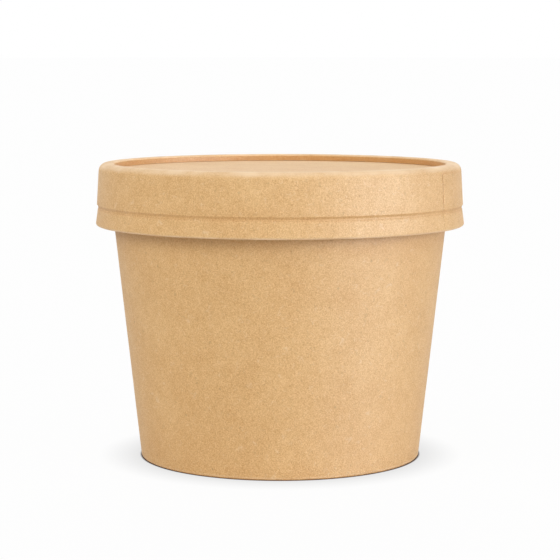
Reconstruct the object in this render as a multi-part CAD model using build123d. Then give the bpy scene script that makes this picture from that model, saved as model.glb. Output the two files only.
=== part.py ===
from build123d import *
from math import asin, atan2, cos, degrees, hypot, radians, sin, sqrt, tan
import os

# Paper ice cream tub: a wrapped conical wall with a rolled rim, a base disc clasped in the
# wall's folded hem, and a press-on lid made of a rolled ring and a recessed disc.
# Z is the tub's axis, the foot stands on z = 0 and -Y is the front. Millimetres and degrees.

# Board
board = 0.5
glue_line = 0.05
fold_slack = 0.12
fold_radius = 0.45

# Tub
base_diameter = 76.1
rim_diameter = 96.7
tub_height = 79.1
curl_diameter = 2.1
curl_end_angle = 250
base_rise = 7.0
base_bend = 0.3
foot_hem_drop = 1.0
flange_gap = 0.1
wall_lap_width = 8.0
wall_lap_angle = 85

# Lid
lid_clearance = 0.3
plug_clearance = 0.2
lid_depth = 16.7
lid_hem_height = 4.3
groove_rise = 0.7
groove_width = 1.2
groove_depth = 0.35
groove_radius = 0.2
groove_valley_share = 0.65
recess_depth = 1.8
lid_lap_width = 6.8
lid_lap_angle = -30.8

# Lap seams
lap_step = 0.35
lap_margin = 0.3
lap_run_out_angle = 3

# Rim curl: an open roll of board round a hollow
rim_radius = rim_diameter / 2
base_radius = base_diameter / 2
curl_radius = curl_diameter / 2
curl_hollow = curl_radius - board
curl_r = rim_radius - curl_radius
curl_z = tub_height - curl_radius

# Wall: the straight line from the foot's corner that touches the curl's hollow
curl_run = hypot(curl_r - base_radius, curl_z)
wall_lean = degrees(atan2(curl_r - base_radius, curl_z) - asin(curl_hollow / curl_run))

# Lid: the skirt flares so that its doubled hem clears the rim as its shoulder does
crown_z = tub_height + lid_clearance + board
lid_foot_z = crown_z - lid_depth
hem_top_z = lid_foot_z + lid_hem_height
shoulder_inside = rim_radius + lid_clearance
skirt_lean = degrees(asin((board + fold_slack) / (curl_z - hem_top_z)))


def wall_radius(z, depth=0):
    # radius at height z, this deep behind the wall's outer face
    return base_radius + z * tan(radians(wall_lean)) - depth / cos(radians(wall_lean))


def skirt_radius(z):
    # radius at height z of the lid skirt's outer face
    return shoulder_inside + board / cos(radians(skirt_lean)) + (curl_z - z) * tan(radians(skirt_lean))


def sheet(face_line, side, thickness=board):
    # section of a sheet that has this line as one of its faces
    return make_face(offset(face_line, thickness, side=side).edges())


def roll(centre, hollow_radius, start_angle, sweep):
    # section of a sheet rolled round a hollow
    inner = CenterArc(centre, hollow_radius, start_angle, sweep)
    outer = CenterArc(centre, hollow_radius + board, start_angle, sweep)
    return make_face([inner, outer, Line(inner @ 0, outer @ 0), Line(inner @ 1, outer @ 1)])


def turned(section, sweep=360):
    # solid of a section drawn as radius and height
    return revolve(Plane.XZ * section, Axis.Z, sweep)


def lap_layer(face_line, start_angle, width, lean):
    # outer layer of a lap seam: a cut edge at the start angle, running out flat into the wall
    foot = face_line @ 0
    strip = sheet(face_line, Side.RIGHT, lap_step) + sheet(face_line, Side.LEFT, board / 2)
    rise = foot.X * tan(radians(lap_run_out_angle))
    run_out = sqrt(rise**2 + 2 * foot.X * lap_step) - rise
    end_angle = start_angle + degrees((width + run_out) / foot.X)
    buried_angle = degrees(2 * board / foot.X)
    layer = turned(strip, end_angle + buried_angle - start_angle)
    outside = Box(tub_height, tub_height, 4 * tub_height, align=(Align.MIN, Align.CENTER, Align.CENTER))
    flat = Rot(0, 0, end_angle) * Pos(foot.X, 0, foot.Y) * Rot(0, lean, 0) * Rot(0, 0, lap_run_out_angle)
    return Rot(0, 0, start_angle) * layer - flat * outside


def make_tub_wall():
    foot_thickness = 3 * board + 2 * glue_line
    hem_top = base_rise - foot_hem_drop
    curl_start = (
        curl_r - curl_hollow * cos(radians(wall_lean)),
        curl_z + curl_hollow * sin(radians(wall_lean)),
    )
    folded = FilletPolyline(
        (wall_radius(hem_top, foot_thickness), hem_top),
        (wall_radius(0, foot_thickness), 0),
        (base_radius, 0),
        curl_start,
        radius=fold_radius,
    )
    curl = roll((curl_r, curl_z), curl_hollow, 180 - wall_lean, curl_end_angle - 540 + wall_lean)
    wall = turned(sheet(folded, Side.LEFT) + curl)
    lap_foot = 2 * board
    lap_top = curl_z - curl_radius - lap_margin
    seam = Line((wall_radius(lap_foot), lap_foot), (wall_radius(lap_top), lap_top))
    return wall + lap_layer(seam, wall_lap_angle, wall_lap_width, wall_lean)


def make_tub_base():
    top = base_rise + board
    behind = board + glue_line
    flange_end = board + flange_gap
    face = FilletPolyline(
        (0, top),
        (wall_radius(top, behind), top),
        (wall_radius(flange_end, behind), flange_end),
        radius=board + base_bend,
    )
    return turned(sheet(face, Side.RIGHT))


panel_top = crown_z - recess_depth
flange_radius = wall_radius(panel_top - board, board) - plug_clearance
lip_radius = flange_radius - 2 * board - glue_line


def make_lid_ring():
    # the hem is a second layer behind the skirt, joined to it by a pressed half-round fold
    hem_fold_radius = board + fold_slack / 2
    across = Vector(cos(radians(skirt_lean)), sin(radians(skirt_lean)))
    skirt_foot_z = lid_foot_z + hem_fold_radius * (1 + across.Y)
    skirt_foot = Vector(skirt_radius(skirt_foot_z), skirt_foot_z)
    fold = CenterArc(skirt_foot - across * hem_fold_radius, hem_fold_radius, 180 + skirt_lean, 180)
    hem_top = Vector(-across.Y, across.X) * (lid_hem_height - hem_fold_radius)
    hem = Line(fold @ 0 + hem_top, fold @ 0)

    groove_low = hem_top_z + groove_rise - groove_width / 2
    groove_high = groove_low + groove_width
    valley = groove_low + groove_width * groove_valley_share
    groove = (
        (skirt_radius(groove_low), groove_low),
        (skirt_radius(valley) - groove_depth, valley),
        (skirt_radius(groove_high), groove_high),
    )
    groove_radii = (fold_radius, groove_radius, fold_radius)
    skirt = FilletPolyline(
        skirt_foot,
        *groove,
        (skirt_radius(crown_z), crown_z),
        (lip_radius, crown_z),
        (lip_radius, panel_top + glue_line),
        radius=(*groove_radii, curl_radius + lid_clearance + board, fold_radius),
    )
    pressed_fold = make_face([fold, Line(fold @ 1, fold @ 0)])
    ring = turned(sheet(hem, Side.LEFT) + pressed_fold + sheet(skirt, Side.LEFT))
    seam = FilletPolyline(skirt_foot, *groove, (skirt_radius(curl_z), curl_z), radius=groove_radii)
    return ring + lap_layer(seam, lid_lap_angle, lid_lap_width, -skirt_lean)


def make_lid_disc():
    under = panel_top - board
    face = FilletPolyline(
        (0, under),
        (flange_radius, under),
        (flange_radius, crown_z - board - flange_gap),
        radius=fold_radius,
    )
    return turned(sheet(face, Side.LEFT))


os.makedirs("parts", exist_ok=True)
export_step(make_tub_wall(), "parts/tub_wall.step")
export_step(make_tub_base(), "parts/tub_base.step")
export_step(make_lid_ring(), "parts/lid_ring.step")
export_step(make_lid_disc(), "parts/lid_disc.step")
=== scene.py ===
import math
import bpy
from mathutils import Matrix, Vector


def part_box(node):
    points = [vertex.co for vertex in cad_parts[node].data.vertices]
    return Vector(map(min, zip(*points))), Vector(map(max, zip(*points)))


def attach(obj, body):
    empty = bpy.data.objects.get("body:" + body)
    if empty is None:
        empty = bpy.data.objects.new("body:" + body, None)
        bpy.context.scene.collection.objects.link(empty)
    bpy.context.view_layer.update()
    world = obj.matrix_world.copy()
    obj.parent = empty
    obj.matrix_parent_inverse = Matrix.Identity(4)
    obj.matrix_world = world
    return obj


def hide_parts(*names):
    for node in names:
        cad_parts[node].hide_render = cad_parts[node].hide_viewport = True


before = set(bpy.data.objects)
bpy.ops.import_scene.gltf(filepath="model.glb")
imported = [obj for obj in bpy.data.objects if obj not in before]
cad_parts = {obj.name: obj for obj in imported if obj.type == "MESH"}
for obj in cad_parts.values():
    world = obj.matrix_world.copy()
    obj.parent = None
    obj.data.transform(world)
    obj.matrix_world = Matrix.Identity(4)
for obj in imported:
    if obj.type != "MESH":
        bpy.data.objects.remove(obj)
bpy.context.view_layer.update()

# Paper ice cream tub: four pieces of kraft board. Each is drawn as the middle line of its
# folded section and spun about Z by one node tree. Its sizes are in mm, those of camera and
# floor in metres, and angles are in degrees.

mm = 0.001
scene = bpy.context.scene


def addNode(tree, kind, inputs=None, **settings):
    node = tree.nodes.new(kind)
    for name, value in settings.items():
        setattr(node, name, value)
    for name, value in (inputs or {}).items():
        if isinstance(value, bpy.types.NodeSocket):
            tree.links.new(value, node.inputs[name])
        else:
            node.inputs[name].default_value = value
    return node


def linear(hexColour):
    channels = [int(hexColour[i:i + 2], 16) / 255 for i in (1, 3, 5)]
    return (*[c / 12.92 if c <= 0.04045 else ((c + 0.055) / 1.055) ** 2.4 for c in channels], 1.0)


def perSize(size):
    return 1 / (size * mm)  # texture scale for features of this size


# Board finishes

pulp = {
    "cloudSize": 12.0, "cloudWeight": 0.50, "mottleSize": 3.2, "mottleWeight": 0.42,
    "speckleSize": 0.30, "speckleWeight": 2.2,  # fibres are under 0.05 mm wide, drawn coarser to show
    "fibreSize": 2.4, "fibreLength": 1.68, "fibreBand": 0.035, "fibreFade": 0.1, "fibreRise": 0.4,
    "fibreSets": ((0.4, 1.0, 0.50), (1.7, 0.8, 0.54)),  # turn in radians, share of the size, rarity
    "fleckSpacing": 3.4, "fleckCore": 0.05, "fleckRim": 0.13, "fleckRare": 0.72,  # core, rim: shares of it
    "patchSize": 7.0, "patchLeast": 0.55, "patchMost": 1.45, "fuzzRough": 0.4, "filmRough": 0.3,
    "paleFibre": "#F0D6AC", "paleShare": 0.35, "darkFibre": "#A87B48", "darkShare": 0.28,
    # the pale colour that follows is for rub and also for painted highlight and painted sheen; the deep brown
    # after it is painted shade
    "fleck": "#80572E", "fleckShare": 0.25, "paleTone": "#F5D5AC", "shadeBrown": "#BA7D38", "shadeBrownShare": 0.35,
}
noiseLow, noiseHigh = 0.35, 0.65  # most values of a noise lie between these


def pulpPattern(tree):
    # wood pulp as it settled on the wire: clouds, mottle, single fibres and bark flecks
    place = addNode(tree, "ShaderNodeTexCoord").outputs["Object"]
    sheetMap = addNode(tree, "ShaderNodeUVMap", uv_map="boardMap").outputs["UV"]
    tone = 0.5
    for kind, detail in (("cloud", 3.0), ("mottle", 2.0), ("speckle", 1.0)):
        cloud = addNode(tree, "ShaderNodeTexNoise", {
            "Vector": place, "Scale": perSize(pulp[kind + "Size"]), "Detail": detail, "Roughness": 0.55,
        }).outputs[0]
        centred = addNode(tree, "ShaderNodeMath", {0: cloud, 1: 0.5}, operation="SUBTRACT").outputs[0]
        tone = addNode(tree, "ShaderNodeMath", {
            0: centred, 1: pulp[kind + "Weight"], 2: tone}, operation="MULTIPLY_ADD").outputs[0]
    # a fibre runs where a noise is near its middle value, and a second noise keeps stretches of it
    fibres = []
    for turn, share, rare in pulp["fibreSets"]:
        turned = addNode(tree, "ShaderNodeMapping", {
            "Vector": sheetMap, "Rotation": (0, 0, turn), "Location": (turn, turn, 0)}).outputs[0]
        field = addNode(tree, "ShaderNodeTexNoise", {
            "Vector": turned, "Scale": perSize(pulp["fibreSize"] * share), "Detail": 0.0,
            "Distortion": 0.9}, noise_dimensions="2D").outputs[0]
        off = addNode(tree, "ShaderNodeMath", {0: field, 1: 0.5}, operation="SUBTRACT").outputs[0]
        away = addNode(tree, "ShaderNodeMath", {0: off}, operation="ABSOLUTE").outputs[0]
        thread = addNode(tree, "ShaderNodeMapRange", {
            "Value": away, "From Max": pulp["fibreBand"], "To Min": 1.0, "To Max": 0.0}).outputs[0]
        length = addNode(tree, "ShaderNodeTexNoise", {
            "Vector": turned, "Scale": perSize(pulp["fibreLength"]), "Detail": 0.0,
        }, noise_dimensions="2D").outputs[0]
        kept = addNode(tree, "ShaderNodeMapRange", {
            "Value": length, "From Min": rare, "From Max": rare + pulp["fibreFade"]}).outputs[0]
        fibres.append(addNode(tree, "ShaderNodeMath", {0: thread, 1: kept}, operation="MULTIPLY").outputs[0])
    cells = addNode(tree, "ShaderNodeTexVoronoi", {"Vector": place, "Scale": perSize(pulp["fleckSpacing"])})
    spot = addNode(tree, "ShaderNodeMapRange", {
        "Value": cells.outputs["Distance"], "From Min": pulp["fleckCore"], "From Max": pulp["fleckRim"],
        "To Min": 1.0, "To Max": 0.0})
    few = addNode(tree, "ShaderNodeMath", {
        0: cells.outputs["Color"], 1: pulp["fleckRare"]}, operation="GREATER_THAN")
    fleck = addNode(tree, "ShaderNodeMath", {0: spot.outputs[0], 1: few.outputs[0]}, operation="MULTIPLY")
    # a slow noise makes the pale marks patchy, the painted highlights and sheen among them
    patchNoise = addNode(tree, "ShaderNodeTexNoise", {
        "Vector": place, "Scale": perSize(pulp["patchSize"])}).outputs[0]
    patchy = addNode(tree, "ShaderNodeMapRange", {
        "Value": patchNoise, "From Min": noiseLow, "From Max": noiseHigh,
        "To Min": pulp["patchLeast"], "To Max": pulp["patchMost"]})
    return tone, *fibres, fleck.outputs[0], patchy.outputs[0]


def boardMaterial(name, finish):
    material = bpy.data.materials.new(name)
    material.use_nodes = True
    tree = material.node_tree
    shader = tree.nodes["Principled BSDF"]
    tone, paleFibre, darkFibre, fleck, patchy = pulpPattern(tree)
    colour = addNode(tree, "ShaderNodeMix", {
        "Factor": tone, 6: linear(finish["shade"]), 7: linear(finish["light"])}, data_type="RGBA").outputs[2]
    fold = addNode(tree, "ShaderNodeAttribute", attribute_name="fold").outputs["Fac"]
    # above zero the fold attribute mixes in the pale colour: stretched bends and rub, and painted highlight
    # and painted sheen
    paleMask = addNode(tree, "ShaderNodeMath", {0: fold, 1: patchy}, operation="MULTIPLY").outputs[0]
    # below zero it mixes in the deep brown: painted shade, and along the seam partly glue and dust
    shadeMask = addNode(tree, "ShaderNodeMath", {0: fold, 1: -1.0}, operation="MULTIPLY").outputs[0]
    for mask, share, tint in (
        (paleFibre, pulp["paleShare"], "paleFibre"), (darkFibre, pulp["darkShare"], "darkFibre"),
        (fleck, pulp["fleckShare"], "fleck"),
        (paleMask, finish["paleMix"], "paleTone"), (shadeMask, pulp["shadeBrownShare"], "shadeBrown"),
    ):
        amount = addNode(tree, "ShaderNodeMath", {0: mask, 1: share}, operation="MULTIPLY").outputs[0]
        colour = addNode(tree, "ShaderNodeMix", {
            "Factor": amount, 6: colour, 7: linear(pulp[tint])}, data_type="RGBA").outputs[2]
    tree.links.new(colour, shader.inputs["Base Color"])
    rough = addNode(tree, "ShaderNodeMapRange", {
        "Value": tone, "To Min": finish["roughest"], "To Max": finish["smoothest"]}).outputs[0]
    tree.links.new(rough, shader.inputs["Roughness"])
    height = addNode(tree, "ShaderNodeMath", {
        0: paleFibre, 1: pulp["fibreRise"], 2: tone}, operation="MULTIPLY_ADD").outputs[0]
    bump = addNode(tree, "ShaderNodeBump", {"Height": height, "Distance": finish["relief"] * mm}).outputs[0]
    tree.links.new(bump, shader.inputs["Normal"])
    for socket, value in (
        ("IOR", finish["ior"]), ("Specular IOR Level", finish["specular"]),
        ("Sheen Weight", finish["fuzz"]), ("Sheen Roughness", pulp["fuzzRough"]),
        ("Coat Weight", finish["film"]), ("Coat Roughness", pulp["filmRough"]),
    ):
        shader.inputs[socket].default_value = value
    return material


# uncoated kraft paperboard, calendered: dull, with pale and dark fibres in a soft cloudy brown
plainBoard = boardMaterial("kraftBoard", {
    "shade": "#D09D60", "light": "#EEC68C", "paleMix": 0.6, "roughest": 0.66, "smoothest": 0.54,
    "relief": 0.035, "ior": 1.47, "specular": 0.5, "fuzz": 0.12, "film": 0.0})
# the same board under a thin polyethylene film: deeper in colour, with a soft gloss
coatedBoard = boardMaterial("coatedKraftBoard", {
    "shade": "#BD9058", "light": "#DDB984", "paleMix": 0.1, "roughest": 0.5, "smoothest": 0.36,
    "relief": 0.015, "ior": 1.5, "specular": 0.5, "fuzz": 0.0, "film": 0.25})
# sheared edge of the board: open pulp, paler and quite dull
cutBoard = boardMaterial("kraftCutEdge", {
    "shade": "#D3AC78", "light": "#EFD5AD", "paleMix": 0.0, "roughest": 0.95, "smoothest": 0.85,
    "relief": 0.05, "ior": 1.47, "specular": 0.25, "fuzz": 0.1, "film": 0.0})
print("materials:", plainBoard.name, coatedBoard.name, cutBoard.name)


# The node tree that spins a board section about Z, with its lap seam and knurled hem

board = {
    "thickness": 0.5, "glue": 0.05, "tightBend": 0.3, "bendStep": 13.0, "bendPieces": 4, "sharpAngle": 35.0,
    "wobble": 0.12, "wobbleSize": 22.0, "seed": 4.0, "looseFrom": 20.0,  # in full from this radius out
    "edgeShare": 0.42, "ridgeShare": 0.65, "biteShare": 0.25,  # shares of a lap's step
    # the seam's stain is partly glue and dust, partly painted shade of the crevice
    "crowding": 0.9, "gripSize": 2.5, "gripLeast": 0.45, "seamStainAndShade": 3.2,
    "pressShare": 1 / 3,  # how much of a pressed groove shows on the inside
    "facesAxis": 0.97,  # past this a face looks at the axis, as the lip does in the lid's recess
    "weld": 0.001,
}
noLap = {"start": 0.0, "width": 0.0, "step": 0.0, "edgeRound": 1.0, "ridge": 1.0, "runOut": 1.0, "bite": 1.0}
thick, half = board["thickness"], board["thickness"] / 2


def spinTree():
    tree = bpy.data.node_groups.new("spunBoard", "GeometryNodeTree")
    tree.is_modifier = True
    for name, kind in (
        ("Outline", "Geometry"), ("Points", "Int"), ("Rows", "Int"), ("Segments", "Int"),
        ("Crowding", "Float"),
        ("Lap Start", "Float"), ("Lap Round", "Float"), ("Lap Width", "Float"), ("Ridge End", "Float"),
        ("Run Out End", "Float"), ("Bite Start", "Float"), ("Lap Step", "Float"), ("Seam Stain And Shade", "Float"),
        ("Grip Scale", "Float"), ("Knurl Pitch", "Float"),
        ("Wobble", "Vector"), ("Wobble Scale", "Float"), ("Seed", "Float"),
        ("Flat Map", "Bool"), ("Map Radius", "Float"),
        ("Outside", "Material"), ("Inside", "Material"), ("Cut Edge", "Material"),
    ):
        tree.interface.new_socket(name, in_out="INPUT", socket_type="NodeSocket" + kind)
    tree.interface.new_socket("Board", in_out="OUTPUT", socket_type="NodeSocketGeometry")
    given = addNode(tree, "NodeGroupInput").outputs

    # a grid with a row for each point of the section, and a column for each step of the turn
    # the last column repeats the first, so that the outer layer of the lap ends in a real cut edge
    turns, columns = (addNode(tree, "FunctionNodeIntegerMath", {
        0: given["Segments"], 1: more}, operation="ADD").outputs[0] for more in (1, 2))
    mesh = addNode(tree, "GeometryNodeMeshGrid", {
        "Vertices X": columns, "Vertices Y": given["Rows"]}).outputs["Mesh"]
    index = addNode(tree, "GeometryNodeInputIndex").outputs[0]
    column = addNode(tree, "FunctionNodeIntegerMath", {
        0: index, 1: given["Rows"]}, operation="DIVIDE_FLOOR").outputs[0]
    row = addNode(tree, "FunctionNodeIntegerMath", {
        0: index, 1: given["Rows"]}, operation="FLOORED_MODULO").outputs[0]
    point = addNode(tree, "FunctionNodeIntegerMath", {
        0: row, 1: given["Points"]}, operation="FLOORED_MODULO").outputs[0]
    told = {}
    for name, kind in (
        ("position", "FLOAT_VECTOR"), ("facing", "FLOAT_VECTOR"), ("lapped", "FLOAT"), ("knurled", "FLOAT"),
        ("fold", "FLOAT"), ("inner", "FLOAT"), ("run", "FLOAT"), ("loose", "FLOAT"),
    ):
        field = addNode(tree, "GeometryNodeInputNamedAttribute", {"Name": name}, data_type=kind).outputs[0]
        told[name] = addNode(tree, "GeometryNodeSampleIndex", {
            "Geometry": given["Outline"], "Value": field, "Index": point}, data_type=kind).outputs[0]

    # columns crowd towards the seam, where the lap's edge needs them
    step = addNode(tree, "FunctionNodeIntegerMath", {
        0: column, 1: turns}, operation="FLOORED_MODULO").outputs[0]
    even = addNode(tree, "ShaderNodeMapRange", {
        "Value": step, "From Max": given["Segments"], "To Max": 2 * math.pi}).outputs[0]
    sway = addNode(tree, "ShaderNodeMath", {0: even}, operation="SINE").outputs[0]
    turn = addNode(tree, "ShaderNodeMath", {
        0: sway, 1: given["Crowding"], 2: even}, operation="MULTIPLY_ADD").outputs[0]
    angle = addNode(tree, "ShaderNodeMath", {0: turn, 1: given["Lap Start"]}, operation="ADD").outputs[0]

    # the lap stands up at its cut edge, drops at the end of the layer below and then runs out
    rise = []
    for low, high, first, last in (
        (0.0, "Lap Round", board["edgeShare"], 1.0), ("Lap Width", "Ridge End", board["ridgeShare"], 0.0),
        ("Lap Width", "Run Out End", 1 - board["ridgeShare"], 0.0),
        ("Bite Start", 2 * math.pi, 0.0, -board["biteShare"]),
    ):
        low, high = (given[end] if isinstance(end, str) else end for end in (low, high))
        rise.append(addNode(tree, "ShaderNodeMapRange", {
            "Value": turn, "From Min": low, "From Max": high, "To Min": first, "To Max": last,
        }, interpolation_type="SMOOTHSTEP").outputs[0])
    layer = addNode(tree, "ShaderNodeMath", {0: rise[1], 1: rise[2]}, operation="ADD").outputs[0]
    height = addNode(tree, "ShaderNodeMath", {
        0: layer, 1: rise[0], 2: rise[3]}, operation="MULTIPLY_ADD").outputs[0]
    glue = addNode(tree, "ShaderNodeTexNoise", {
        "W": told["run"], "Scale": given["Grip Scale"], "Detail": 1.0}, noise_dimensions="1D").outputs[0]
    grip = addNode(tree, "ShaderNodeMapRange", {
        "Value": glue, "From Min": noiseLow, "From Max": noiseHigh,
        "To Min": board["gripLeast"], "To Max": 1.0}).outputs[0]
    held = addNode(tree, "ShaderNodeMath", {0: height, 1: grip}, operation="MULTIPLY").outputs[0]
    lap = addNode(tree, "ShaderNodeMath", {0: held, 1: told["lapped"]}, operation="MULTIPLY").outputs[0]
    teeth = addNode(tree, "ShaderNodeMath", {
        0: angle, 1: given["Knurl Pitch"]}, operation="PINGPONG").outputs[0]
    dent = addNode(tree, "ShaderNodeMapRange", {
        "Value": teeth, "From Max": given["Knurl Pitch"]}, interpolation_type="SMOOTHERSTEP").outputs[0]
    tooth = addNode(tree, "ShaderNodeMath", {0: dent, 1: told["knurled"]}, operation="MULTIPLY").outputs[0]
    lift = addNode(tree, "ShaderNodeMath", {
        0: lap, 1: given["Lap Step"], 2: tooth}, operation="MULTIPLY_ADD").outputs[0]
    raised = addNode(tree, "ShaderNodeVectorMath", {
        0: told["facing"], 1: lift, 2: told["position"]}, operation="MULTIPLY_ADD").outputs[0]

    # the crease in front of the cut edge is darkened, partly as glue and dust, partly as painted shade of the
    # crevice
    crease = addNode(tree, "ShaderNodeMath", {0: rise[3], 1: told["lapped"]}, operation="MULTIPLY").outputs[0]
    stainAndShade = addNode(tree, "ShaderNodeMath", {
        0: crease, 1: given["Seam Stain And Shade"], 2: told["fold"]}, operation="MULTIPLY_ADD").outputs[0]

    # uneven board: each place is drawn in and down a little by a slow noise, which dies out at the axis
    swung = addNode(tree, "ShaderNodeVectorRotate", {
        "Vector": told["position"], "Angle": angle}, rotation_type="Z_AXIS").outputs[0]
    noise = addNode(tree, "ShaderNodeTexNoise", {
        "Vector": swung, "W": given["Seed"], "Scale": given["Wobble Scale"], "Detail": 1.0,
    }, noise_dimensions="4D").outputs[0]
    slack = addNode(tree, "ShaderNodeMath", {0: noise, 1: told["loose"]}, operation="MULTIPLY").outputs[0]
    uneven = addNode(tree, "ShaderNodeVectorMath", {
        0: given["Wobble"], 1: slack, 2: raised}, operation="MULTIPLY_ADD").outputs[0]
    place = addNode(tree, "ShaderNodeVectorRotate", {
        "Vector": uneven, "Angle": angle}, rotation_type="Z_AXIS").outputs[0]

    # grid indices count points, so what is kept on faces and corners is worked out on points first
    along = addNode(tree, "ShaderNodeMath", {
        0: turn, 1: given["Map Radius"]}, operation="MULTIPLY").outputs[0]
    wrapped = addNode(tree, "ShaderNodeCombineXYZ", {"X": along, "Y": told["run"]}).outputs[0]
    drawn = addNode(tree, "GeometryNodeSwitch", {
        "Switch": given["Flat Map"], "False": wrapped, "True": swung}, input_type="VECTOR").outputs[0]
    sheetMap = addNode(tree, "GeometryNodeFieldOnDomain", {
        "Value": drawn}, data_type="FLOAT_VECTOR", domain="POINT").outputs[0]
    faceColumn, faceInner = (addNode(tree, "GeometryNodeFieldOnDomain", {
        "Value": value}, data_type="FLOAT", domain="POINT").outputs[0] for value in (column, told["inner"]))
    # a face between an outer and an inner row is a cut edge, and so is the one that closes the lap
    lapFace = addNode(tree, "ShaderNodeMath", {
        0: faceColumn, 1: given["Segments"]}, operation="GREATER_THAN").outputs[0]
    endFace = addNode(tree, "ShaderNodeMath", {0: faceInner, 1: 0.5, 2: 0.3}, operation="COMPARE").outputs[0]
    cutFace = addNode(tree, "ShaderNodeMath", {0: lapFace, 1: endFace}, operation="MAXIMUM").outputs[0]
    innerFace = addNode(tree, "ShaderNodeMath", {0: faceInner, 1: 0.75}, operation="GREATER_THAN").outputs[0]
    finish = addNode(tree, "ShaderNodeMath", {
        0: cutFace, 1: 2.0, 2: innerFace}, operation="MULTIPLY_ADD").outputs[0]
    for name, kind, domain, value in (
        ("boardMap", "FLOAT2", "CORNER", sheetMap), ("fold", "FLOAT", "POINT", stainAndShade),
        ("finish", "FLOAT", "FACE", finish),
    ):
        mesh = addNode(tree, "GeometryNodeStoreNamedAttribute", {
            "Geometry": mesh, "Name": name, "Value": value}, data_type=kind, domain=domain).outputs[0]
    mesh = addNode(tree, "GeometryNodeSetPosition", {"Geometry": mesh, "Position": place}).outputs[0]
    mesh = addNode(tree, "GeometryNodeMergeByDistance", {
        "Geometry": mesh, "Distance": board["weld"] * mm}).outputs[0]
    mesh = addNode(tree, "GeometryNodeRealizeInstances", {"Geometry": mesh}).outputs[0]
    kept = addNode(tree, "GeometryNodeInputNamedAttribute", {"Name": "finish"}, data_type="FLOAT").outputs[0]
    for name, least in (("Outside", -1.0), ("Inside", 0.5), ("Cut Edge", 1.5)):
        chosen = addNode(tree, "ShaderNodeMath", {0: kept, 1: least}, operation="GREATER_THAN").outputs[0]
        mesh = addNode(tree, "GeometryNodeSetMaterial", {
            "Geometry": mesh, "Selection": chosen, "Material": given[name]}).outputs[0]
    addNode(tree, "NodeGroupOutput", {"Board": mesh})
    return tree


spunBoard = spinTree()
print("node tree:", len(spunBoard.nodes), "nodes")


# Folded sections

def bentLine(corners, step, curl=None):
    # corners are (radius, height, bend radius, lapped, knurled), the last two for the run that follows
    line = []  # point, right-hand side, how deep in a bend it lies, lapped, knurled

    def bend(start, heading, turn, radius, before, after):
        pivot = start + heading.orthogonal() * math.copysign(radius, turn)
        pieces = max(board["bendPieces"], math.ceil(abs(turn) / math.radians(board["bendStep"])))
        for k in range(pieces + 1):
            share = k / pieces
            spun = Matrix.Rotation(turn * share, 2)
            marks = [a + (b - a) * share for a, b in zip(before, after)]
            side = spun @ -heading.orthogonal()
            line.append((pivot + spun @ (start - pivot), side, math.sin(math.pi * share), *marks))

    ends = [Vector(corner[:2]) for corner in corners]
    at = ends[0]
    for i in range(1, len(corners)):
        heading = (ends[i] - ends[i - 1]).normalized()
        onward = (ends[i + 1] - ends[i]).normalized() if i + 1 < len(corners) else heading
        turn = math.atan2(heading.cross(onward), heading.dot(onward))
        stop = ends[i] - heading * corners[i][2] * math.tan(abs(turn) / 2)
        cuts = max(1, math.ceil((stop - at).length / step))
        for k in range(cuts + 1):
            line.append((at.lerp(stop, k / cuts), -heading.orthogonal(), 0.0, *corners[i - 1][3:]))
        at = stop
        if abs(turn) > 0.01:  # a real corner
            bend(stop, heading, turn, corners[i][2], corners[i - 1][3:], corners[i][3:])
            at = line[-1][0]
    if curl:
        bend(at, heading, curl["turn"], curl["radius"], corners[-1][3:], corners[-1][3:])
    return line


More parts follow.
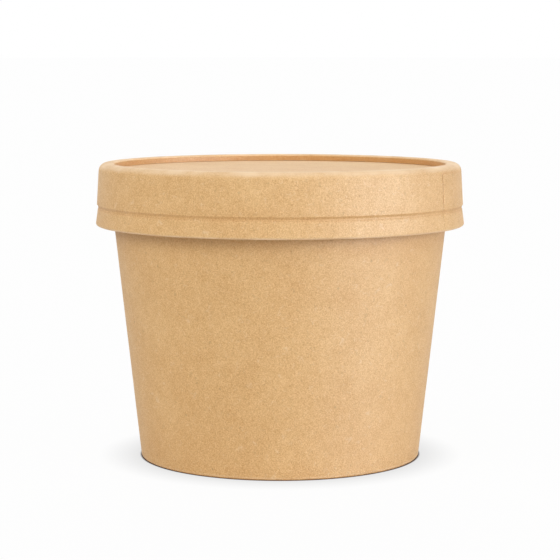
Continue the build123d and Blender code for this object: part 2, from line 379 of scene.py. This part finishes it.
def spin(name, line, part, radius, outerRight=True, pressed=None, lightAndShadeTone=None):
    lap, knurls, flat = part.get("lap", noLap), part.get("knurls", 0), part.get("flat", False)
    outer, inner, run = [], [], 0.0
    for i, (at, side, fold, lapped, knurled) in enumerate(line):
        run += (at - line[i - 1][0]).length if i else 0.0
        dent = pressed(at.y) if pressed and lapped > 0 else 0.0
        loose = min(1.0, at.x / board["looseFrom"])
        # tone for the fold attribute: how deep in a bend, or what the given function paints by height
        # (painted shade, painted highlight and sheen, rub); a lip face looking at the axis gets the recess's
        # painted shade
        toneHere = fold
        if lightAndShadeTone:
            looksIn = side.x <= -board["facesAxis"]
            toneHere = part.get("recessShade", 0.0) if looksIn else lightAndShadeTone(at.y)
        both = {"run": run * mm, "loose": loose}
        outer.append({
            "position": at + side * (half - dent), "facing": side, "lapped": lapped,
            "knurled": -knurled * part.get("knurlDepth", 0.0) * mm,
            "fold": toneHere if outerRight else fold, "inner": 0.0 if outerRight else 1.0, **both})
        inner.append({
            "position": at - side * (half + dent * board["pressShare"]), "facing": -side, "lapped": 0.0,
            "knurled": 0.0, "fold": fold if outerRight else toneHere, "inner": 1.0 if outerRight else 0.0, **both})
    rows = outer + inner[::-1]
    mesh = bpy.data.meshes.new(name)
    mesh.from_pydata([(row["position"].x * mm, 0.0, row["position"].y * mm) for row in rows], [], [])
    facing = mesh.attributes.new("facing", "FLOAT_VECTOR", "POINT")
    facing.data.foreach_set("vector", [c for row in rows for c in (row["facing"].x, 0.0, row["facing"].y)])
    for label in ("lapped", "knurled", "fold", "inner", "run", "loose"):
        mesh.attributes.new(label, "FLOAT", "POINT").data.foreach_set("value", [row[label] for row in rows])
    piece = bpy.data.objects.new(name, mesh)
    scene.collection.objects.link(piece)
    modifier = piece.modifiers.new("spunBoard", "NODES")
    modifier.node_group = spunBoard
    sockets = {s.name: s.identifier for s in spunBoard.interface.items_tree if s.in_out == "INPUT"}
    for label, value in {
        "Points": len(rows), "Rows": len(rows) + (0 if flat else 1), "Segments": part["segments"],
        "Crowding": -board["crowding"] if lap["step"] else 0.0, "Lap Start": math.radians(lap["start"]),
        "Lap Round": lap["edgeRound"] / radius, "Lap Width": lap["width"] / radius,
        "Ridge End": (lap["width"] + lap["ridge"]) / radius,
        "Run Out End": (lap["width"] + lap["runOut"]) / radius,
        "Bite Start": 2 * math.pi - lap["bite"] / radius, "Lap Step": lap["step"] * mm,
        "Seam Stain And Shade": board["seamStainAndShade"], "Grip Scale": perSize(board["gripSize"]),
        "Knurl Pitch": math.pi / knurls if knurls else 1.0,
        "Wobble": (-board["wobble"] * mm, 0.0, -part.get("dish", 0.0) * mm),
        "Wobble Scale": perSize(board["wobbleSize"]), "Seed": board["seed"],
        "Flat Map": flat, "Map Radius": radius * mm,
        "Outside": plainBoard, "Inside": coatedBoard, "Cut Edge": cutBoard,
    }.items():
        modifier[sockets[label]] = value
    depsgraph = bpy.context.evaluated_depsgraph_get()
    spun = bpy.data.meshes.new_from_object(piece.evaluated_get(depsgraph))
    piece.modifiers.clear()
    piece.data = spun
    spun.name = name
    spun.shade_smooth()
    spun.set_sharp_from_angle(angle=math.radians(board["sharpAngle"]))
    print(name, len(rows), "rows,", len(spun.polygons), "faces")
    return piece


# Tub wall: folded hem, conical wall with a lap seam at the back, and the rolled rim

tub = {
    "footDiameter": 76.1, "curlDiameter": 2.1, "curlTurn": 283.6, "hemHeight": 6.0, "hemLayers": 3,
    "lap": {
        "start": 85.0, "width": 8.0, "step": 0.3, "edgeRound": 0.3,
        "ridge": 0.9, "runOut": 14.0, "bite": 0.45},
    "lapFoot": 1.0, "lapTop": 76.7, "knurls": 84, "knurlDepth": 0.3, "knurlFoot": 1.0,
    # the foot's dark tone is painted shade under its fold, and the lid's tone is painted shadow of its skirt
    # on the wall
    "paleHeight": 0.65, "paleWidth": 0.3, "footShadeTop": 0.46, "footShadeTone": 12.0, "lidShadowTone": 0.6, "lidShadowFade": 6.0,
    "segments": 640, "step": 3.5,
}
rimRadius, tubHeight = (v / mm for v in (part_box("tub_wall")[1].x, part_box("tub_wall")[1].z))
footRadius, curlRadius = tub["footDiameter"] / 2, tub["curlDiameter"] / 2
curlR, curlZ = rimRadius - curlRadius, tubHeight - curlRadius
wallFlare = curlR - footRadius
wallLean = math.atan2(wallFlare, curlZ) - math.asin((curlRadius - thick) / math.hypot(wallFlare, curlZ))


def wallAt(z, depth):
    return footRadius + z * math.tan(wallLean) - depth / math.cos(wallLean)


hemDepth = tub["hemLayers"] * thick + (tub["hemLayers"] - 1) * board["glue"] - half
rollRadius = curlRadius - half
wallLine = bentLine([
    (wallAt(tub["hemHeight"], hemDepth), tub["hemHeight"], 0.0, 0.0, 1.0),
    (wallAt(tub["knurlFoot"], hemDepth), tub["knurlFoot"], 0.0, 0.0, 0.0),
    (wallAt(half, hemDepth), half, board["tightBend"], 0.0, 0.0),
    (wallAt(half, half), half, board["tightBend"], 0.0, 0.0),
    (wallAt(tub["lapFoot"], half), tub["lapFoot"], 0.0, 1.0, 0.0),
    (wallAt(tub["lapTop"], half), tub["lapTop"], 0.0, 0.0, 0.0),
    (curlR - rollRadius * math.cos(wallLean), curlZ + rollRadius * math.sin(wallLean), 0.0, 0.0, 0.0),
], tub["step"], {"turn": -math.radians(tub["curlTurn"]), "radius": rollRadius})
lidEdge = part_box("lid_ring")[0].z / mm


def wallLightAndShade(z):
    # painted shade under the foot's fold and a pale band just above it, and painted shadow of the lid's skirt
    # from its edge up, fading out below it
    footShade = tub["footShadeTone"] * max(0.0, tub["footShadeTop"] - z)
    paleTone = max(0.0, 1 - abs(z - tub["paleHeight"]) / tub["paleWidth"])
    shaded = min(1.0, max(0.0, 1 + (z - lidEdge) / tub["lidShadowFade"]))
    return paleTone - footShade - tub["lidShadowTone"] * shaded


tubWall = spin("tubWall", wallLine, tub, wallAt(tubHeight / 2, 0), lightAndShadeTone=wallLightAndShade)

# Tub base: a disc whose flange is clasped by the hem

base = {"bend": 0.55, "segments": 360, "step": 2.0, "dish": 0.15, "flat": True}
baseLow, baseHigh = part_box("tub_base")
baseZ, flangeDepth = baseHigh.z / mm - half, thick + board["glue"] + half
baseLine = bentLine([
    (0.0, baseZ, 0.0, 0.0, 0.0),
    (wallAt(baseZ, flangeDepth), baseZ, base["bend"], 0.0, 0.0),
    (wallAt(baseLow.z / mm, flangeDepth), baseLow.z / mm, 0.0, 0.0, 0.0),
], base["step"])
tubBase = spin("tubBase", baseLine, base, footRadius)

# Lid ring: hem folded up inside, skirt with its pressed groove, shoulder over the rim, and the lip

lid = {
    "clearance": 0.3, "hemHeight": 4.3, "foldSlack": 0.12, "foldEase": 0.99,  # parts the fold's two bends
    "shoulderBend": 1.95, "lipBend": 0.36,
    # the tones of the groove and of the crease below are painted shade
    "grooveTop": 1.35, "grooveStep": 0.85, "grooveDepth": 0.42, "grooveShade": 0.9, "toneWidth": 0.58,
    "grooveFlank": 0.45, "grooveFlare": 4.2, "flareShare": 0.75,
    "creaseDrop": 0.22, "creaseWidth": 0.17, "creaseDepth": 0.06, "creaseShade": 0.7,
    "flankRows": (-3, -1), "creaseRows": (-1, -0.5, 0, 0.5, 1),
    "grooveRows": (0.15, 0.3, 0.45, 0.6, 0.75, 0.9),
    "lap": {
        "start": -30.8, "width": 6.8, "step": 0.32, "edgeRound": 0.6,
        "ridge": 0.5, "runOut": 12.0, "bite": 0.35},
    "hemLap": 0.4, "lapTurn": 8.0, "ledge": 0.22, "ledgeSink": -0.4,
    # the pale fold corner and the pale crown are partly rub, partly painted highlight
    "paleWidth": 0.3, "cornerPale": 1.1, "crownDrop": 1.55, "crownFade": 0.8, "crownPale": 1.1,
    # the recess tone is painted shade on the lip's inner face
    "recessShade": -1.4, "segments": 360, "step": 2.5,
}
crownZ, lidFoot = (v.z / mm for v in reversed(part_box("lid_ring")))
hemTop = lidFoot + lid["hemHeight"]
skirtLean = math.asin((thick + lid["foldSlack"]) / (curlZ - hemTop))


def skirtAt(z, depth):
    inside = rimRadius + lid["clearance"] + (curlZ - z) * math.tan(skirtLean)
    return inside + (thick - depth) / math.cos(skirtLean)


discLow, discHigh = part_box("lid_disc")
lipRadius = discHigh.x / mm - 2 * thick - board["glue"]
panelTop = discLow.z / mm + thick
foldRadius = (thick + lid["foldSlack"]) / 2
hemBack = half + 2 * foldRadius
grooveHigh = hemTop + lid["grooveTop"]
valley = grooveHigh - lid["grooveStep"]
creaseZ = valley - lid["creaseDrop"]
# rows stand close where the press bends the skirt
pressedHeights = [lidFoot + foldRadius * 2]
pressedHeights += [valley + lid["grooveFlank"] * share for share in lid["flankRows"]]
pressedHeights += [creaseZ + lid["creaseWidth"] * share for share in lid["creaseRows"]] + [valley]
pressedHeights += [valley + lid["grooveStep"] * share for share in lid["grooveRows"]] + [grooveHigh]


def inCrease(z):
    return max(0.0, 1 - abs(z - creaseZ) / lid["creaseWidth"])


def skirtPress(z):
    # a groove with a crisp upper edge and a fine crease below it, and then the skirt flares slowly back out
    if z > valley:
        return lid["grooveDepth"] * (1 - min(1.0, (z - valley) / lid["grooveStep"]) ** 2)
    near = max(0.0, 1 - (valley - z) / lid["grooveFlank"])
    far = max(0.0, 1 - (valley - z) / lid["grooveFlare"])
    flare = (1 - lid["flareShare"]) * near + lid["flareShare"] * far
    return lid["grooveDepth"] * flare + lid["creaseDepth"] * inCrease(z)


def skirtLightAndShade(z):
    # pale along the fold's outer corner and over the crown, partly rub and partly painted highlight, and
    # painted shade in the groove and its crease
    corner = lid["cornerPale"] * (1 - abs(z - lidFoot - foldRadius) / lid["paleWidth"])
    crown = (z - crownZ + lid["crownDrop"]) / lid["crownFade"]
    hollow = max(0.0, 1 - abs(z - valley - lid["grooveStep"] / 2) / lid["toneWidth"])
    grooveShadeTone = lid["grooveShade"] * hollow + lid["creaseShade"] * inCrease(z)
    return max(0.0, corner, lid["crownPale"] * min(1.0, crown)) - grooveShadeTone


# the shoulder bends in two goes, because the lap's outer layer ends part of the way over it
upSkirt, shoulderTurn = Vector((-math.sin(skirtLean), math.cos(skirtLean))), math.pi / 2 - skirtLean
lapTurn = math.radians(lid["lapTurn"])
pastLap = Matrix.Rotation(lapTurn, 2) @ upSkirt
lapReach, overReach = math.tan(lapTurn / 2), math.tan((shoulderTurn - lapTurn) / 2)
shoulder = Vector((skirtAt(crownZ - half, half), crownZ - half))
lapBend = shoulder - upSkirt * lid["shoulderBend"] * (math.tan(shoulderTurn / 2) - lapReach)
lapEnd = lapBend + pastLap * lid["shoulderBend"] * lapReach
ledgeEnd = lapEnd + pastLap * lid["ledge"]
overBend = lapEnd + pastLap * lid["shoulderBend"] * overReach
overRadius = lid["shoulderBend"] - lid["ledge"] / overReach

ringLine = bentLine([
    (skirtAt(hemTop, hemBack), hemTop, 0.0, 0.0, 0.0),
    (skirtAt(lidFoot + half, hemBack), lidFoot + half, foldRadius * lid["foldEase"], 0.0, 0.0),
    (skirtAt(lidFoot + half, half), lidFoot + half, foldRadius * lid["foldEase"], lid["hemLap"], 0.0),
    *((skirtAt(z, half), z, 0.0, lid["hemLap"] if z < grooveHigh else 1.0, 0.0) for z in pressedHeights),
    (*lapBend, lid["shoulderBend"], 1.0, 0.0),
    (*lapEnd, 0.0, lid["ledgeSink"], 0.0),
    (*ledgeEnd, 0.0, 0.0, 0.0),
    (*overBend, overRadius, 0.0, 0.0),
    (lipRadius + half, crownZ - half, lid["lipBend"], 0.0, 0.0),
    (lipRadius + half, panelTop + board["glue"], 0.0, 0.0, 0.0),
], lid["step"])
lidRing = spin("lidRing", ringLine, lid, skirtAt(hemTop, 0), pressed=skirtPress, lightAndShadeTone=skirtLightAndShade)

# Lid disc: the sunk panel, with its flange turned up behind the lip

panel = {"bend": 0.3, "paintedSheen": 0.25, "segments": 360, "step": 2.0, "dish": 0.06, "flat": True}
panelZ, flangeRadius = panelTop - half, discHigh.x / mm - half
discLine = bentLine([
    (0.0, panelZ, 0.0, 0.0, 0.0),
    (flangeRadius, panelZ, panel["bend"], 0.0, 0.0),
    (flangeRadius, discHigh.z / mm, 0.0, 0.0, 0.0),
], panel["step"])


# the whole panel is mixed a little toward the pale colour: a painted sheen
def panelPaintedSheen(z):
    return panel["paintedSheen"]


lidDisc = spin("lidDisc", discLine, panel, flangeRadius, outerRight=False, lightAndShadeTone=panelPaintedSheen)

for piece, body, node, slot in (
    (tubWall, "tub", "tub_wall", "tub_board"), (tubBase, "tub", "tub_base", "tub_board"),
    (lidRing, "lid", "lid_ring", "lid_board"), (lidDisc, "lid", "lid_disc", "lid_board"),
):
    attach(piece, body)
    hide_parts(node)

# Camera, floor and light

shot = {"distance": 0.550, "height": 0.10875, "pitch": 6.33, "lens": 130.15}
camera = bpy.data.objects.new("camera", bpy.data.cameras.new("camera"))
scene.collection.objects.link(camera)
camera.location = (0.0, -shot["distance"], shot["height"])
camera.rotation_euler = (math.radians(90 - shot["pitch"]), 0.0, 0.0)
camera.data.lens = shot["lens"]
camera.data.clip_end = 200.0
scene.camera = camera

studio = {
    "floorReach": 60.0, "paper": "#E4E4E4", "paperRough": 0.9, "paperSpecular": 0.1,
    "white": "#FFFFFF", "glowShare": 0.96, "fill": 0.355, "shadowReach": 0.012, "shadowDepth": 0.62,
    "contactReach": 0.0007, "contactShadowTone": "#4E3421", "contactLow": 0.5, "contactHigh": 0.95,
}
floorMesh = bpy.data.meshes.new("floor")
reach = studio["floorReach"]
floorMesh.from_pydata([(-2 * reach, -reach, 0), (2 * reach, -reach, 0), (0, 2 * reach, 0)], [], [(0, 1, 2)])
floor = bpy.data.objects.new("floor", floorMesh)
scene.collection.objects.link(floor)
white = bpy.data.materials.new("paperSweep")  # white paper sweep, dull, darker only where the tub stands
white.use_nodes = True
sweep = white.node_tree
paper = sweep.nodes["Principled BSDF"]
paper.inputs["Base Color"].default_value = linear(studio["paper"])
paper.inputs["Roughness"].default_value = studio["paperRough"]
paper.inputs["Specular IOR Level"].default_value = studio["paperSpecular"]
# the floor's shadow is painted: ambient occlusion darkens its glow to camera rays, brown at the contact
soft, close = (addNode(sweep, "ShaderNodeAmbientOcclusion", {
    "Distance": studio[kind]}, samples=16).outputs["AO"] for kind in ("shadowReach", "contactReach"))
shade = addNode(sweep, "ShaderNodeMapRange", {
    "Value": soft, "To Min": studio["shadowDepth"], "To Max": 1.0}).outputs[0]
clear = addNode(sweep, "ShaderNodeMapRange", {
    "Value": close, "From Min": studio["contactLow"], "From Max": studio["contactHigh"]}).outputs[0]
lit = addNode(sweep, "ShaderNodeMix", {
    "Factor": clear, 6: linear(studio["contactShadowTone"]), 7: linear(studio["white"]),
}, data_type="RGBA").outputs[2]
glow = addNode(sweep, "ShaderNodeEmission", {"Color": lit, "Strength": shade}).outputs[0]
ray = addNode(sweep, "ShaderNodeLightPath").outputs["Is Camera Ray"]
glowing = addNode(sweep, "ShaderNodeMath", {0: ray, 1: studio["glowShare"]}, operation="MULTIPLY").outputs[0]
surface = addNode(sweep, "ShaderNodeMixShader", {0: glowing, 1: paper.outputs[0], 2: glow}).outputs[0]
sweep.links.new(surface, sweep.nodes["Material Output"].inputs["Surface"])
floorMesh.materials.append(white)

world = bpy.data.worlds.new("studio")
scene.world = world
world.use_nodes = True
sky = world.node_tree
seen = addNode(sky, "ShaderNodeLightPath").outputs
shown = seen["Is Camera Ray"]
for kind in ("Is Glossy Ray", "Is Transmission Ray"):
    shown = addNode(sky, "ShaderNodeMath", {0: shown, 1: seen[kind]}, operation="MAXIMUM").outputs[0]
strength = addNode(sky, "ShaderNodeMapRange", {
    "Value": shown, "To Min": studio["fill"], "To Max": 1.0}).outputs[0]
sky.nodes["Background"].inputs["Color"].default_value = linear(studio["white"])
sky.links.new(strength, sky.nodes["Background"].inputs["Strength"])

# name, degrees right of the front and up, spread, strength, and what it gives: light, sheen or both
for name, right, up, spread, power, gives in (
    ("softboxRight", 71, 10, 30, 1.1, "both"), ("softboxSheen", 62, 3, 24, 9.0, "sheen"),
    ("fillLeft", -62, 32, 30, 0.72, "both"), ("fillFront", 0, 24, 30, 0.71, "both"),
    ("overhead", 0, 88, 40, 0.5, "both"), ("fillBack", 180, 32, 30, 0.68, "light"),
):
    sun = bpy.data.objects.new(name, bpy.data.lights.new(name, "SUN"))
    scene.collection.objects.link(sun)
    sun.data.energy = power
    sun.data.angle = math.radians(spread)
    sun.visible_diffuse, sun.visible_glossy = gives != "sheen", gives != "light"
    aside, above = math.radians(right), math.radians(up)
    level = math.cos(above)
    towards = Vector((math.sin(aside) * level, -math.cos(aside) * level, math.sin(above)))
    sun.rotation_euler = towards.to_track_quat("Z", "Y").to_euler()
scene.view_settings.view_transform = "Standard"
print("camera, floor and light set")
